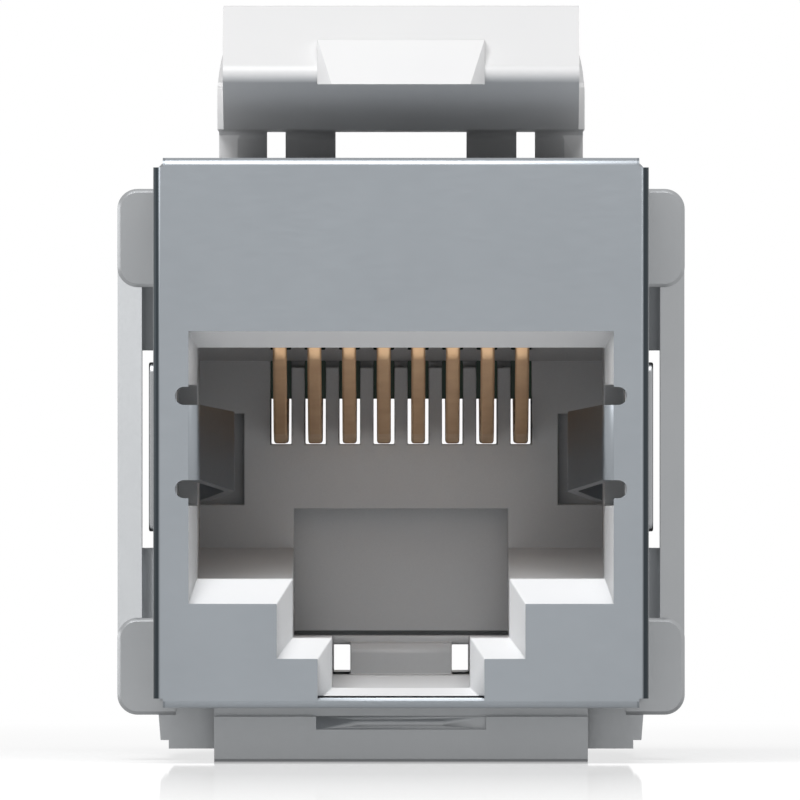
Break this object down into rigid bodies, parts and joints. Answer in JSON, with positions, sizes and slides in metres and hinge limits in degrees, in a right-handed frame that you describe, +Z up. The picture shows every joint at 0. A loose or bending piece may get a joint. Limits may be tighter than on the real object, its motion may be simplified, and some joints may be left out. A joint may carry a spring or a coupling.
{
  "type": "keystone coupler",
  "caption": "Shielded in-line keystone coupler: a modular socket at each end of a metal body with a fixed hook, a sprung top latch, side ears and straps.",
  "frame": {"origin": "centre of the front port's face", "axes": "+Y runs from the front port to the rear port, +Z is up towards the latch, +X is to the right seen from the front"},
  "size_m": [0.0168, 0.035, 0.0223],
  "materials": {
    "shield_sheet": "satin nickel-plated sheet",
    "die_cast_zinc": "satin nickel-plated zinc casting",
    "socket_plastic": "semi-gloss moulded plastic",
    "latch_plastic": "semi-gloss moulded plastic",
    "contact_bronze": "gold-plated spring bronze",
    "board_laminate": "solder-masked laminate"
  },
  "bodies": {
    "coupler": {"front_shield": "shield_sheet", "rear_shield": "shield_sheet", "front_socket": "socket_plastic", "rear_socket": "socket_plastic", "front_housing": "die_cast_zinc", "rear_housing": "die_cast_zinc", "circuit_board": "board_laminate", "front_contact_1": "contact_bronze", "front_contact_2": "contact_bronze", "front_contact_3": "contact_bronze", "front_contact_4": "contact_bronze", "front_contact_5": "contact_bronze", "front_contact_6": "contact_bronze", "front_contact_7": "contact_bronze", "front_contact_8": "contact_bronze", "rear_contact_1": "contact_bronze", "rear_contact_2": "contact_bronze", "rear_contact_3": "contact_bronze", "rear_contact_4": "contact_bronze", "rear_contact_5": "contact_bronze", "rear_contact_6": "contact_bronze", "rear_contact_7": "contact_bronze", "rear_contact_8": "contact_bronze"},
    "latch": {"latch": "latch_plastic"}
  },
  "joints": [
    {"name": "latch_press", "type": "hinge", "parent": "coupler", "child": "latch", "pos_m": [0, 0.0195, 0.0074], "axis": [1, 0, 0], "range_deg": [0, 7.5], "stiffness_Nm_per_rad": 0.5}
  ]
}
